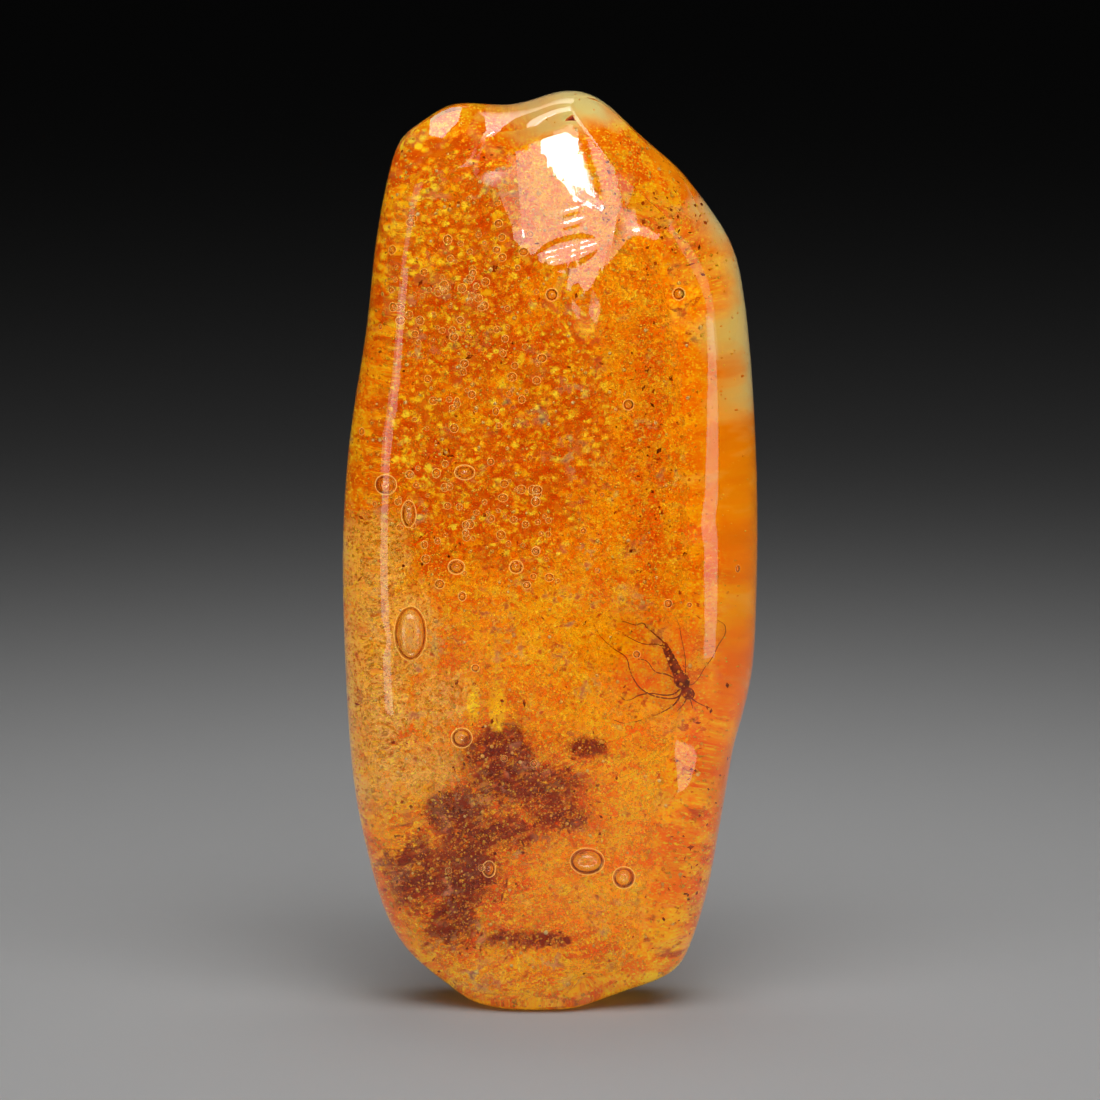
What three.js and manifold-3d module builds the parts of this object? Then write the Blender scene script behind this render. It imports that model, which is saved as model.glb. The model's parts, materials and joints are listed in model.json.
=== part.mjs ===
// A polished amber pebble that stands on a small flat spot, with a long-legged gnat sealed inside.
// Millimetres, +Z up. The front looks towards -Y, and the origin is on the ground under the middle.
// The clear solid is parted in two on an upright plane through the gnat's pocket.
import * as THREE from "three";
import { mergeVertices } from "three/addons/utils/BufferGeometryUtils.js";
import Module from "manifold-3d";

// Driving dimensions of the pebble
const HEIGHT = 55;
const DEPTH = 14;
const PARTING_Y = -1.5;
const CENTRE_Z = HEIGHT / 2;

// The resting spot: what runs below the ground is planed off flat, with this rounding at its edge
const FOOT_EDGE = 0.3;

// The cross-section: how square its shoulders are, and how crisply the polished faces meet them
const SHOULDER = 4;
const SHOULDER_RISE = 1.22;
const CREASE = 0.55;

// The pebble's outline seen from the front, as x and z of the points that its edge runs through,
// from the resting spot up the left side, over the lumpy top and down the right side
const OUTLINE = [
  [-3.2, -1], [-5.5, 0.75], [-6.7, 1.6], [-8.8, 3.5], [-10, 5.9], [-11, 9.5],
  [-11.7, 13.1], [-12.1, 17.9], [-12.35, 27.5], [-12, 33.4], [-11.5, 37], [-10.9, 40.6],
  [-10.4, 45.4], [-10, 47.9], [-9.5, 50.2], [-9.1, 51.8], [-8.4, 52.7], [-7.4, 53.1],
  [-6.6, 53.9], [-5.3, 54.2], [-2.8, 53.9], [-1.2, 54.2], [0, 54.7], [1.1, 55],
  [2.3, 54.8], [3.4, 54.1], [4.5, 53], [5.4, 52.1], [7.7, 50.2], [8.7, 48.9],
  [9.8, 47.4], [10.9, 45.6], [11.5, 42.8], [12, 38], [12.35, 30.3], [12.3, 24.3],
  [12.1, 20.3], [11.6, 17.8], [11, 15.9], [10.7, 14], [10.1, 10.5], [9.4, 6.7],
  [8.4, 3.5], [7.9, 2.3], [7.1, 1.6], [5.7, 1.2], [3.2, 0.3], [1.6, -1],
];
const COLUMNS = 80;
const RINGS = [1, 0.992, 0.972, 0.942, 0.904, 0.862, 0.815, 0.76, 0.68, 0.56, 0.4, 0.21];

// Broad lumps and hollows of the two faces: x, z, radius along x, radius along z, and height,
// where a hollow's height is negative
const FRONT_RELIEF = [
  [-5.6, 51.2, 2.2, 2.4, 0.75],
  [-2.3, 52.4, 1.8, 3.2, -0.55],
  [2.6, 47.5, 3.2, 5, 0.35],
  [-8.2, 42, 1.6, 9, -0.3],
  [-1.5, 30, 6, 9, 0.12],
  [4.5, 12, 4, 6, 0.2],
  [-5, 6, 4, 4, -0.3],
  [9.2, 16.5, 2, 3.4, -0.45],
];
const BACK_RELIEF = [
  [-4, 44, 4.5, 6, -0.5],
  [5, 36, 5, 8, 0.3],
  [-5, 24, 4.5, 7, 0.35],
  [4, 15, 4, 6, -0.45],
  [-1, 52, 3, 3, 0.4],
];

// Smaller faces that the polishing left beside the main ones: the x, z and depth of a point on
// each, and how fast it falls towards the right and towards the top
const FRONT_FACETS = [
  { at: [1.5, 43.2], depth: 5.35, slant: [0.03, 0.27] },
  { at: [9.6, 30], depth: 4.75, slant: [0.62, 0.01] },
];
const BACK_FACETS = [
  { at: [-1, 42], depth: 7.7, slant: [-0.05, 0.34] },
  { at: [0, 9], depth: 7.9, slant: [0.03, -0.26] },
];

// The two polished faces. crown is how fast a face falls away from its middle, sideways and
// lengthways, and slant how fast it falls towards the right and towards the top
const FRONT = {
  side: -1,
  crown: [0.006, 0.0012],
  slant: [0.012, 0.01],
  facets: FRONT_FACETS,
  lumps: FRONT_RELIEF,
};
const BACK = {
  side: 1,
  crown: [0.017, 0.0022],
  slant: [-0.01, 0.012],
  facets: BACK_FACETS,
  lumps: BACK_RELIEF,
};

// The pocket around the gnat
const POCKET_AT = [6.2, PARTING_Y, 21.05];
const POCKET_RADII = [4.9, 1.5, 4.9];

// The resin bends the view, so the gnat lies this far left of and above the x and z it is seen at
const VIEW_SHIFT = [-0.15, 0, 0.75];

// Driving dimensions of the gnat, each place as it is seen
const HEAD_RADIUS = 0.36;
const EYE_RADIUS = 0.19;
const BODY_RADIUS = 0.34;
const THORAX_RADIUS = 0.44;
const LEG_RADIUS = 0.048;
const FEELER_RADIUS = 0.035;
const WING_THICKNESS = 0.07;
const HEAD_AT = [8, 18.4];
const BODY_TAIL_AT = [6.85, 21.05];

// Each leg: the x and z that it runs through from the thorax to the foot, and how far its middle
// stands towards the front (negative) or the back
const LEGS = [
  {
    bend: -0.3,
    route: [
      [7.8, 18.9], [7.3, 18.1], [6.5, 18.1], [5.45, 18.55], [5, 19.1],
      [4.7, 19.85], [4.5, 20.5], [4, 20.95], [3.35, 21.45], [2.95, 22], [2.7, 22.5],
    ],
  },
  {
    bend: 0.25,
    route: [
      [7.8, 18.8], [7.2, 17.8], [6.6, 17.3], [5.8, 16.9],
      [4.9, 16.6], [4.35, 16.5], [3.8, 16.75],
    ],
  },
  { bend: 0.3, route: [[7.8, 18.9], [7, 18.4], [5.8, 18.3], [5.25, 18.2], [4.55, 17.9], [4.2, 18.15]] },
  { bend: 0.2, route: [[7.6, 19.3], [6.6, 21.2], [5.5, 21.35], [4.5, 21.8]] },
  {
    bend: -0.25,
    route: [
      [7.6, 19.3], [6.9, 21.1], [5.85, 22.2], [5.4, 22.5],
      [5.2, 22.4], [4.55, 22.6], [3.85, 22.8], [3.25, 23.2],
    ],
  },
  { bend: -0.35, route: [[7.7, 19], [6.9, 19.5], [6.2, 19.7], [5.7, 20.3], [5.2, 20.4]] },
];
const LEG_STEPS = 14;
const LEG_SIDES = 5;

// The two wings: the x and z of the edge from root to tip and back, and how far each stands back
const WINGS = [
  {
    back: 0.2,
    edge: [
      [8.1, 18.9], [8.8, 20], [9.2, 21], [9.6, 22.3],
      [9.3, 22.7], [8.7, 22.3], [8.3, 21.2], [8, 19.9],
    ],
  },
  {
    back: 0.55,
    edge: [
      [7.8, 19], [7.9, 20.2], [7.6, 21.6], [7.3, 22.7],
      [6.9, 23.1], [6.6, 22.5], [6.8, 21.2], [7.3, 19.8],
    ],
  },
];
const WING_POINTS = 22;

const AMBER_COLOUR = 0xd9730c;
const GNAT_COLOUR = 0x4a1a08;

const wasm = await Module();
wasm.setup();

// A three.js geometry as a solid that can be joined and cut.
function solidOf(geometry) {
  const bare = geometry.clone();
  bare.deleteAttribute("normal");
  bare.deleteAttribute("uv");
  const merged = mergeVertices(bare, 1e-4);
  return new wasm.Manifold(
    new wasm.Mesh({
      numProp: 3,
      vertProperties: merged.attributes.position.array,
      triVerts: new Uint32Array(merged.index.array),
    }),
  );
}

// A solid as a three.js geometry.
function geometryOf(solid) {
  const made = solid.getMesh();
  const geometry = new THREE.BufferGeometry();
  geometry.setAttribute("position", new THREE.BufferAttribute(new Float32Array(made.vertProperties), 3));
  geometry.setIndex(new THREE.BufferAttribute(new Uint32Array(made.triVerts), 1));
  geometry.computeVertexNormals();
  return geometry;
}

// The sum of a face's lumps and hollows at one point.
function relief(lumps, x, z) {
  return lumps.reduce((sum, [lumpX, lumpZ, radiusX, radiusZ, height]) => {
    const distance = ((x - lumpX) / radiusX) ** 2 + ((z - lumpZ) / radiusZ) ** 2;
    return sum + height * Math.exp(-distance);
  }, 0);
}

// The smaller of two depths, with the ridge between them rounded over.
function blendedLeast(a, b, width) {
  const share = Math.max(width - Math.abs(a - b), 0) / width;
  return Math.min(a, b) - (share * share * width) / 4;
}

// A height above the ground, planed flat below it with a narrow rounded edge.
function planed(z) {
  if (z <= -FOOT_EDGE) return 0;
  if (z >= FOOT_EDGE) return z;
  return (z + FOOT_EDGE) ** 2 / (4 * FOOT_EDGE);
}

// How far the surface stands from the parting plane, at a share of the way from middle to edge.
function depthAt({ side, crown, slant, facets, lumps }, share, x, z) {
  const full = DEPTH / 2 - side * PARTING_Y;
  const shoulder = SHOULDER_RISE * full * Math.sqrt(Math.max(1 - share ** SHOULDER, 0));
  const up = z - CENTRE_Z;
  const fall = crown[0] * x * x + crown[1] * up * up + slant[0] * x + slant[1] * up;
  const cut = facets.reduce((least, { at, depth, slant: [across, along] }) => {
    const plane = depth - across * (x - at[0]) - along * (z - at[1]);
    return blendedLeast(least, plane, CREASE);
  }, full - fall);
  return blendedLeast(shoulder, cut + relief(lumps, x, z), CREASE);
}

// One half of the pebble: rings of points from the parting plane to the face's middle, closed by
// the flat parting face. side is -1 for the front and 1 for the back.
function half(face) {
  const { side } = face;
  const edge = new THREE.CatmullRomCurve3(
    OUTLINE.map(([x, z]) => new THREE.Vector3(x, 0, z)), true, "centripetal",
  ).getSpacedPoints(COLUMNS).slice(0, COLUMNS);
  const points = [];
  const push = (share, x, z) => {
    const away = share === 1 ? 0 : depthAt(face, share, x, z);
    points.push(x, PARTING_Y + side * away, planed(z));
  };
  for (const share of RINGS)
    for (const point of edge)
      push(share, point.x * share, CENTRE_Z + (point.z - CENTRE_Z) * share);
  push(0, 0, CENTRE_Z);
  points.push(0, PARTING_Y, CENTRE_Z);
  const faceMiddle = RINGS.length * COLUMNS;
  const partingMiddle = faceMiddle + 1;
  const faces = [];
  const triangle = (a, b, c) => faces.push(...(side < 0 ? [a, c, b] : [a, b, c]));
  for (let column = 0; column < COLUMNS; column++) {
    const next = (column + 1) % COLUMNS;
    triangle(partingMiddle, next, column);
    for (let ring = 0; ring + 1 < RINGS.length; ring++) {
      const outer = ring * COLUMNS;
      const inner = outer + COLUMNS;
      triangle(outer + column, outer + next, inner + next);
      triangle(outer + column, inner + next, inner + column);
    }
    const last = (RINGS.length - 1) * COLUMNS;
    triangle(last + column, last + next, faceMiddle);
  }
  const geometry = new THREE.BufferGeometry();
  geometry.setAttribute("position", new THREE.BufferAttribute(new Float32Array(points), 3));
  geometry.setIndex(faces);
  return solidOf(geometry);
}

// The lens-shaped pocket that the gnat lies in.
function pocket() {
  const lens = new THREE.SphereGeometry(1, 36, 18);
  lens.rotateX(Math.PI / 2);
  lens.scale(...POCKET_RADII);
  lens.translate(...POCKET_AT);
  return solidOf(lens);
}

// A round-ended bead of the gnat's body, at x and z in the parting plane.
function bead(radii, at, away, turn) {
  const ball = new THREE.SphereGeometry(1, 14, 10);
  ball.scale(...radii);
  ball.rotateY(turn);
  ball.translate(at[0], PARTING_Y + away, at[1]);
  return solidOf(ball);
}

// The ringed abdomen, a turned profile laid from the thorax to the tail.
function abdomen() {
  const from = new THREE.Vector3(HEAD_AT[0] - 0.45, PARTING_Y, HEAD_AT[1] + 0.95);
  const to = new THREE.Vector3(BODY_TAIL_AT[0], PARTING_Y + 0.1, BODY_TAIL_AT[1]);
  const length = from.distanceTo(to);
  const segments = 7;
  const profile = [new THREE.Vector2(0, 0)];
  for (let step = 0; step <= segments; step++) {
    const along = step / segments;
    const swell = BODY_RADIUS * (1 - 0.45 * along ** 2);
    profile.push(new THREE.Vector2(swell * 0.86, Math.max(length * (along - 0.02), 0.01)));
    profile.push(new THREE.Vector2(swell, length * (along + 0.05)));
  }
  profile.push(new THREE.Vector2(0, length * 1.12));
  const turned = new THREE.LatheGeometry(profile, 12);
  const lie = new THREE.Quaternion().setFromUnitVectors(
    new THREE.Vector3(0, 1, 0), to.clone().sub(from).normalize(),
  );
  turned.applyQuaternion(lie);
  turned.translate(from.x, from.y, from.z);
  return solidOf(turned);
}

// A thin tube along points in the parting plane, whose middle bends away from it.
function limb(joints, bend, radius, sides, steps) {
  const middle = (joints.length - 1) / 2;
  const route = new THREE.CatmullRomCurve3(
    joints.map(([x, z], index) => {
      const lift = 1 - Math.abs(index - middle) / middle;
      return new THREE.Vector3(x, PARTING_Y + bend * lift, z);
    }),
    false, "centripetal",
  );
  const section = new THREE.Shape();
  for (let side = 0; side < sides; side++) {
    const turn = (side / sides) * 2 * Math.PI;
    const point = [radius * Math.cos(turn), radius * Math.sin(turn)];
    if (side === 0) section.moveTo(...point);
    else section.lineTo(...point);
  }
  return solidOf(new THREE.ExtrudeGeometry(section, { steps, extrudePath: route, curveSegments: 1 }));
}

// A flat wing with a smooth edge, standing away from the parting plane.
function wing({ edge, back }) {
  const rim = new THREE.CatmullRomCurve3(
    edge.map(([x, z]) => new THREE.Vector3(x, z, 0)), true, "centripetal",
  ).getSpacedPoints(WING_POINTS).slice(0, WING_POINTS);
  const shape = new THREE.Shape(rim.map((point) => new THREE.Vector2(point.x, point.y)));
  const plate = new THREE.ExtrudeGeometry(shape, { depth: WING_THICKNESS, bevelEnabled: false });
  plate.rotateX(Math.PI / 2);
  plate.translate(0, PARTING_Y + back, 0);
  return solidOf(plate);
}

// The whole gnat, its beads, abdomen, legs, feelers and wings fused in one solid.
function gnat() {
  const [headX, headZ] = HEAD_AT;
  const lean = Math.atan2(BODY_TAIL_AT[0] - headX, BODY_TAIL_AT[1] - headZ);
  const thoraxAt = [headX - 0.3, headZ + 0.6];
  const neckAt = [headX - 0.12, headZ + 0.3];
  const fromHead = (...route) => route.map(([x, z]) => [headX + x, headZ + z]);
  const pieces = [
    bead([HEAD_RADIUS, HEAD_RADIUS * 0.95, HEAD_RADIUS], HEAD_AT, 0, lean),
    bead([EYE_RADIUS, EYE_RADIUS, EYE_RADIUS * 1.2], [headX - 0.16, headZ - 0.1], -0.24, lean),
    bead([EYE_RADIUS, EYE_RADIUS, EYE_RADIUS * 1.2], [headX + 0.16, headZ - 0.02], -0.2, lean),
    bead([0.2, 0.2, 0.3], neckAt, 0, lean),
    bead([THORAX_RADIUS, THORAX_RADIUS, 0.72], thoraxAt, 0.05, lean),
    abdomen(),
    limb(fromHead([0, -0.2], [0.1, -0.7], [0.15, -1]), 0, LEG_RADIUS, 5, 4),
    limb(fromHead([0.1, 0], [0.6, -0.5], [1.1, -0.7]), -0.2, FEELER_RADIUS, 4, 5),
    limb(fromHead([-0.1, 0], [-0.3, -0.6], [-0.7, -1.1]), -0.2, FEELER_RADIUS, 4, 5),
  ];
  for (const leg of LEGS)
    pieces.push(limb(leg.route, leg.bend, LEG_RADIUS, LEG_SIDES, LEG_STEPS));
  // Each wing is held by a short stalk from the thorax
  for (const each of WINGS) {
    pieces.push(wing(each));
    const root = new THREE.Vector3(each.edge[0][0], PARTING_Y + each.back, each.edge[0][1] + 0.25);
    pieces.push(stalk(new THREE.Vector3(thoraxAt[0], PARTING_Y, thoraxAt[1]), root));
  }
  return pieces.reduce((whole, piece) => whole.add(piece)).translate(VIEW_SHIFT);
}

// A straight stub between two points.
function stalk(from, to) {
  const length = from.distanceTo(to);
  const rod = new THREE.CylinderGeometry(LEG_RADIUS * 1.6, LEG_RADIUS * 1.6, length + 0.1, 6);
  rod.applyQuaternion(new THREE.Quaternion().setFromUnitVectors(
    new THREE.Vector3(0, 1, 0), to.clone().sub(from).normalize(),
  ));
  const middle = from.clone().lerp(to, 0.5);
  rod.translate(middle.x, middle.y, middle.z);
  return solidOf(rod);
}

function named(name, solid, material) {
  const mesh = new THREE.Mesh(geometryOf(solid), material);
  mesh.name = name;
  return mesh;
}

const amber = new THREE.MeshStandardMaterial({ color: AMBER_COLOUR, roughness: 0.08, metalness: 0 });
const chitin = new THREE.MeshStandardMaterial({ color: GNAT_COLOUR, roughness: 0.5, metalness: 0 });

const hollow = pocket();
const pebble = new THREE.Group();
pebble.add(named("amber_front", half(FRONT).subtract(hollow), amber));
pebble.add(named("amber_back", half(BACK).subtract(hollow), amber));
pebble.add(named("insect", gnat(), chitin));

export default pebble;
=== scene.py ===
import json
import math

import bpy
import numpy as np
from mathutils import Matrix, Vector
from mathutils.bvhtree import BVHTree

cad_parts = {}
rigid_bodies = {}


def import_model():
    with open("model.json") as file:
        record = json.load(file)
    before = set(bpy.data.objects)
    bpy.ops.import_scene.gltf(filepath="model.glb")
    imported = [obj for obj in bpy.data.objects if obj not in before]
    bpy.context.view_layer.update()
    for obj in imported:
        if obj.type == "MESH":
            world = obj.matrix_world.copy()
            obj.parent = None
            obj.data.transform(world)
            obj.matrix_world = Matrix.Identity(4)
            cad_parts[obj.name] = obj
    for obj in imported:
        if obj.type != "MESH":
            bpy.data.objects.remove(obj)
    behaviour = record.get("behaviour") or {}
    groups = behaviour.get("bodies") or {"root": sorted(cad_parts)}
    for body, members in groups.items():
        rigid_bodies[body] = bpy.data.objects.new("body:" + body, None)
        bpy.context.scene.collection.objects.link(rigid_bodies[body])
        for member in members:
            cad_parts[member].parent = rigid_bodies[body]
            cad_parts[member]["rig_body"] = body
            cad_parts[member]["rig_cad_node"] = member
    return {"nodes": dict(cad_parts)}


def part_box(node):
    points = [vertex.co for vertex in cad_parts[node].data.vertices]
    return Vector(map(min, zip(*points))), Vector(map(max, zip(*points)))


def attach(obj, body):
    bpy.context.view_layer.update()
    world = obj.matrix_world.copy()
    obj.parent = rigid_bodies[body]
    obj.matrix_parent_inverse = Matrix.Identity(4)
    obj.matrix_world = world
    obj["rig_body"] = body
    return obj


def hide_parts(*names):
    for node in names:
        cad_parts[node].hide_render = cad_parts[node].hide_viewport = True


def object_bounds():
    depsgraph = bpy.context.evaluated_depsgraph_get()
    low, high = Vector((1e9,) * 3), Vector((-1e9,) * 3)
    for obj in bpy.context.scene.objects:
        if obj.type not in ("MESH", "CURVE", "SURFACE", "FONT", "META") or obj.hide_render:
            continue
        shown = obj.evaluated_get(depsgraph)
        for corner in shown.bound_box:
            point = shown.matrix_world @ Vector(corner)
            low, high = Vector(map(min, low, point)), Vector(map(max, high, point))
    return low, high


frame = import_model()
cad_box = [list(corner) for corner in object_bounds()]
MM = 0.001

# The clear amber
# One lump of fossil resin, worn round, ground nearly flat on both faces and polished by hand.
# The frame parts it in two round the insect. Here the halves are joined to the one clear piece.
FRONT_HALF_LOW, FRONT_HALF_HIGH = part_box("amber_front")
BACK_HALF_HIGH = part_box("amber_back")[1]
PARTING_Y = FRONT_HALF_HIGH.y
CENTRE = Vector((0, 0, (FRONT_HALF_LOW.z + FRONT_HALF_HIGH.z) / 2))
POCKET_MIDDLE = Vector((6.2 * MM, PARTING_Y, 21.05 * MM))
POCKET_RADIUS = 4.95 * MM
POCKET_REACH = 1.6 * MM
CAP_FACES_ACROSS = 20


def only(piece):
    """Selects this piece alone and makes it the active one."""
    if bpy.context.object and bpy.context.object.mode != "OBJECT":
        bpy.ops.object.mode_set(mode="OBJECT")
    bpy.ops.object.select_all(action="DESELECT")
    piece.select_set(True)
    bpy.context.view_layer.objects.active = piece


def pick(piece, kind, test):
    """Opens the piece for editing, with only the faces or vertices selected that pass the test."""
    only(piece)
    bpy.ops.object.mode_set(mode="EDIT")
    bpy.ops.mesh.select_mode(type=kind)
    bpy.ops.mesh.select_all(action="DESELECT")
    bpy.ops.object.mode_set(mode="OBJECT")
    if kind == "FACE":
        for face in piece.data.polygons:
            face.select = test(face.center)
    else:
        for vertex in piece.data.vertices:
            vertex.select = test(vertex.co)
    bpy.ops.object.mode_set(mode="EDIT")


def finish_modifier(piece, kind, **values):
    """Adds one modifier with these values and applies it."""
    only(piece)
    modifier = piece.modifiers.new(kind.lower(), kind)
    for name, value in values.items():
        setattr(modifier, name, value)
    bpy.ops.object.modifier_apply(modifier=modifier.name)


def copy_of(piece, name):
    """A copy of the piece with its own mesh."""
    only(piece)
    bpy.ops.object.duplicate()
    made = bpy.context.object
    made.name = made.data.name = name
    return made


bpy.ops.object.select_all(action="DESELECT")
for node in ("amber_front", "amber_back"):
    frame["nodes"][node].select_set(True)
bpy.context.view_layer.objects.active = frame["nodes"]["amber_front"]
bpy.ops.object.duplicate()
bpy.ops.object.join()
bpy.ops.object.parent_clear(type="CLEAR")
amber = bpy.context.object
amber.name = amber.data.name = "amber"
amber.data.materials.clear()

# The copy is no CAD node, so it loses their marks
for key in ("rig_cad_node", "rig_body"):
    if key in amber:
        del amber[key]

# The halves' shared edge becomes one edge, and the parting faces and the pocket go
bpy.ops.object.mode_set(mode="EDIT")
bpy.ops.mesh.select_all(action="SELECT")
bpy.ops.mesh.remove_doubles(threshold=0.002 * MM)


def inside_the_halves(point):
    """Whether a point is on the parting plane or on the pocket's wall."""
    on_parting = abs(point.y - PARTING_Y) < 0.001 * MM
    off = point - POCKET_MIDDLE
    in_pocket = abs(off.y) < POCKET_REACH and math.hypot(off.x, off.z) < POCKET_RADIUS
    return on_parting or in_pocket


pick(amber, "FACE", inside_the_halves)
bpy.ops.mesh.delete(type="FACE")
bpy.ops.mesh.select_all(action="SELECT")
bpy.ops.mesh.tris_convert_to_quads(face_threshold=math.radians(60), shape_threshold=math.radians(60))

# The fan of triangles in the middle of each face becomes an even grid
for pole_y in (FRONT_HALF_LOW.y, BACK_HALF_HIGH.y):
    only(amber)
    nearest = min(amber.data.vertices, key=lambda v: (v.co - Vector((0, pole_y, CENTRE.z))).length)
    pole = nearest.co.copy()
    pick(amber, "VERT", lambda co: (co - pole).length < 0.01 * MM)
    bpy.ops.mesh.select_more()
    bpy.ops.mesh.select_more()
    bpy.ops.mesh.delete(type="FACE")
    bpy.ops.mesh.select_all(action="DESELECT")
    bpy.ops.mesh.select_non_manifold()
    bpy.ops.mesh.fill_grid(span=CAP_FACES_ACROSS)
bpy.ops.mesh.select_all(action="SELECT")
bpy.ops.mesh.normals_make_consistent(inside=False)

# A plain copy stays as the form of what lies inside
blank = copy_of(amber, "blank")
blank_tree = BVHTree.FromObject(blank, bpy.context.evaluated_depsgraph_get())
finish_modifier(amber, "SUBSURF", levels=2, render_levels=2)

# Hollows and knobs of the front that the polishing left: x and z, reach, and depth
HOLLOWS = (
    (-10.4, 22.8, 1.1, 0.22), (-4.0, 46.6, 0.9, 0.05), (-7.2, 51.6, 1.3, -0.16),
    (2.0, 2.6, 1.3, 0.25), (-8.6, 45.0, 2.0, -0.10), (8.6, 30.0, 1.6, -0.06),
    (-6.0, 30.0, 2.6, 0.05), (3.0, 24.0, 3.0, 0.05),
)
FRONT_FACE_FROM = PARTING_Y - 2.2 * MM


def on_front(point):
    """Whether a point is on the front face, and not on the worn band round it."""
    return point.y < FRONT_FACE_FROM


for x, z, reach, depth in HOLLOWS:
    middle = min(
        (vertex.co for vertex in amber.data.vertices if on_front(vertex.co)),
        key=lambda co: math.hypot(co.x - x * MM, co.z - z * MM),
    ).copy()
    pick(amber, "VERT", lambda co: (co - middle).length < 0.001 * MM)
    bpy.ops.transform.translate(
        value=(0, depth * MM, 0), use_proportional_edit=True, use_proportional_connected=True,
        proportional_edit_falloff="SMOOTH", proportional_size=reach * MM,
    )
bpy.ops.object.mode_set(mode="OBJECT")

# The shoulders, each ground off along one plane: a point on it, and the way it faces
SHOULDERS = (((6.2, -5.2, 48.4), (0.8, -1.0, 1.0)), ((-5.0, -5.2, 51.1), (-0.5, -1.0, 1.2)))
for at, way in SHOULDERS:
    only(amber)
    bpy.ops.object.mode_set(mode="EDIT")
    bpy.ops.mesh.select_mode(type="FACE")
    bpy.ops.mesh.select_all(action="SELECT")
    bpy.ops.mesh.bisect(plane_co=Vector(at) * MM, plane_no=way, use_fill=True, clear_outer=True)
    bpy.ops.mesh.region_to_loop()
    bpy.ops.mesh.mark_sharp()
    bpy.ops.mesh.select_all(action="SELECT")
    bpy.ops.mesh.normals_make_consistent(inside=False)
    bpy.ops.object.mode_set(mode="OBJECT")

# Flats that the polishing wheel left at the top of the front: the corners as x and z, a point on
# each and how deep it is sunk, the slopes towards the right and the top, how far the face round it
# bends to meet it, and whether it only cuts
FLATS = (
    {
        "corners": ((-7.1, 52.3), (-7.0, 53.3), (-6.4, 53.9), (-5.1, 54.0), (-5.3, 53.2), (-6.5, 52.2)),
        "at": (-6.1, 53.1), "depth": 0, "slopes": (0.0, 0.6), "bend": 0.3, "cuts": False,
    },
    {
        "corners": ((-3.8, 50.4), (-3.8, 52.6), (-1.0, 52.8), (-0.9, 52.0), (-2.6, 50.4)),
        "at": (-2.8, 51.2), "depth": 0, "slopes": (0.1, 0.24), "bend": 0.8, "cuts": False,
    },
    {
        "corners": ((4.9, 47.4), (4.9, 49.6), (6.2, 49.4), (6.9, 48.0), (6.2, 46.8)),
        "at": (6.0, 48.2), "depth": 0, "slopes": (0.12, 0.22), "bend": 0.8, "cuts": False,
    },
    {
        "corners": ((-2.1, 51.4), (0.6, 53.1), (3.3, 53.5), (4.3, 48.4), (2.1, 42.2), (-1.7, 47.0)),
        "at": (2.1, 42.4), "depth": -0.5, "slopes": (0.03, 0.335), "bend": 1.5, "cuts": False,
    },
    {
        "corners": ((-0.63, 52.0), (1.4, 53.2), (2.85, 48.7), (1.3, 49.15), (0.36, 50.0)),
        "at": (0.36, 50.0), "depth": 0, "slopes": (0.09, 0.375), "bend": 0.5, "cuts": True,
    },
)
FLAT_MARGIN = 0.7
PARTING_MARGIN = 0.3 * MM


def front_y(tree, x, z):
    """How far forward a form's front reaches at an x and z in mm."""
    return tree.ray_cast(Vector((x * MM, -0.05, z * MM)), Vector((0, 1, 0)))[0].y


def inside(corners, x, z):
    """Whether a point lies inside an outline whose corners run clockwise."""
    for (x0, z0), (x1, z1) in zip(corners, corners[1:] + corners[:1]):
        if (x1 - x0) * (z - z0) - (z1 - z0) * (x - x0) > 0.002:
            return False
    return True


def nearest_on(corners, x, z):
    """The point of an outline's edges that is nearest to x and z."""
    found = []
    for start, end in zip(corners, corners[1:] + corners[:1]):
        start, way = Vector(start), Vector(end) - Vector(start)
        share = (Vector((x, z)) - start).dot(way) / way.length_squared
        found.append(start + way * min(max(share, 0), 1))
    return min(found, key=lambda point: (point - Vector((x, z))).length)


def before_parting(point):
    """Whether a point is on the front half, clear of the edge that the halves shared."""
    return point.y < PARTING_Y - PARTING_MARGIN


for flat in FLATS:
    corners = flat["corners"]
    bend = flat["bend"]
    low_x, high_x = (side(x for x, z in corners) for side in (min, max))
    low_z, high_z = (side(z for x, z in corners) for side in (min, max))

    def around(point, margin):
        """Whether a point lies in the flat's box or less than the margin outside it."""
        in_width = low_x - margin < point.x / MM < high_x + margin
        return in_width and low_z - margin < point.z / MM < high_z + margin and before_parting(point)

    for (x0, z0), (x1, z1) in zip(corners, corners[1:] + corners[:1]):
        pick(amber, "FACE", lambda co: around(co, FLAT_MARGIN))
        bpy.ops.mesh.bisect(plane_co=(x0 * MM, 0, z0 * MM), plane_no=(z1 - z0, 0, x0 - x1))
    bpy.ops.object.mode_set(mode="OBJECT")
    uncut = BVHTree.FromObject(amber, bpy.context.evaluated_depsgraph_get())
    start = Vector(flat["at"])
    slopes = Vector(flat["slopes"])
    start_y = front_y(uncut, *start) + flat["depth"] * MM
    for vertex in amber.data.vertices:
        if around(vertex.co, bend):
            place = Vector((vertex.co.x, vertex.co.z)) / MM
            near = place if inside(corners, *place) else nearest_on(corners, *place)
            share = max(1 - (near - place).length / bend, 0) ** 2
            cut = start_y + slopes.dot(near - start) * MM - front_y(uncut, *near)
            if cut > 0 or not flat["cuts"]:
                vertex.co.y += share * cut
    pick(amber, "FACE", lambda co: before_parting(co) and inside(corners, co.x / MM, co.z / MM))
    bpy.ops.mesh.region_to_loop()
    bpy.ops.mesh.mark_sharp()
    bpy.ops.object.mode_set(mode="OBJECT")

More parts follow.
